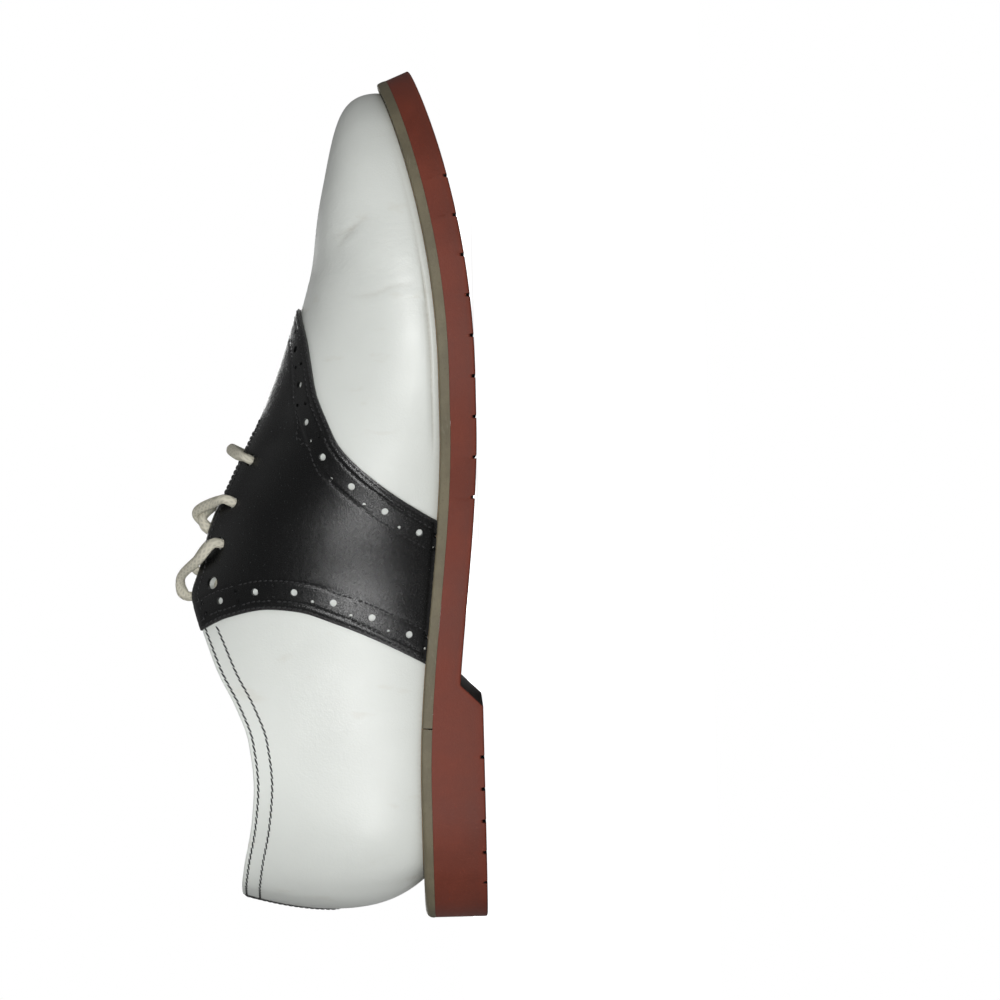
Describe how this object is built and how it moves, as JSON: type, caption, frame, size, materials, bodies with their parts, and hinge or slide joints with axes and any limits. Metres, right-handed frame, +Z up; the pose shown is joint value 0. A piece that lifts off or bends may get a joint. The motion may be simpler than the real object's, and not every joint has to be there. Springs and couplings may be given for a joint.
{
  "type": "saddle shoe",
  "caption": "Left low lace-up shoe with a white upper, a black saddle over the instep, an olive welt and a brick-red rubber sole with a low heel.",
  "frame": {"origin": "under the middle of the sole's box, on the floor", "axes": "+Z up, the toe towards -Y and the heel towards +Y, the medial side towards -X"},
  "size_m": [0.106, 0.3, 0.1049],
  "materials": {
    "brick_rubber": "matt moulded rubber",
    "welt_olive": "matt",
    "insole_tan": "matt",
    "white_leather": "soft sheen",
    "black_leather": "soft sheen",
    "lace_cotton": "woven"
  },
  "bodies": {
    "root": {"outsole": "brick_rubber", "welt": "welt_olive", "heel_rand": "welt_olive", "insole": "insole_tan", "upper": "white_leather", "saddle": "black_leather", "backstay": "black_leather", "tongue": "white_leather", "lace_bar": "lace_cotton", "lace_cross_1": "lace_cotton", "lace_cross_2": "lace_cotton", "lace_cross_3": "lace_cotton"}
  },
  "joints": []
}
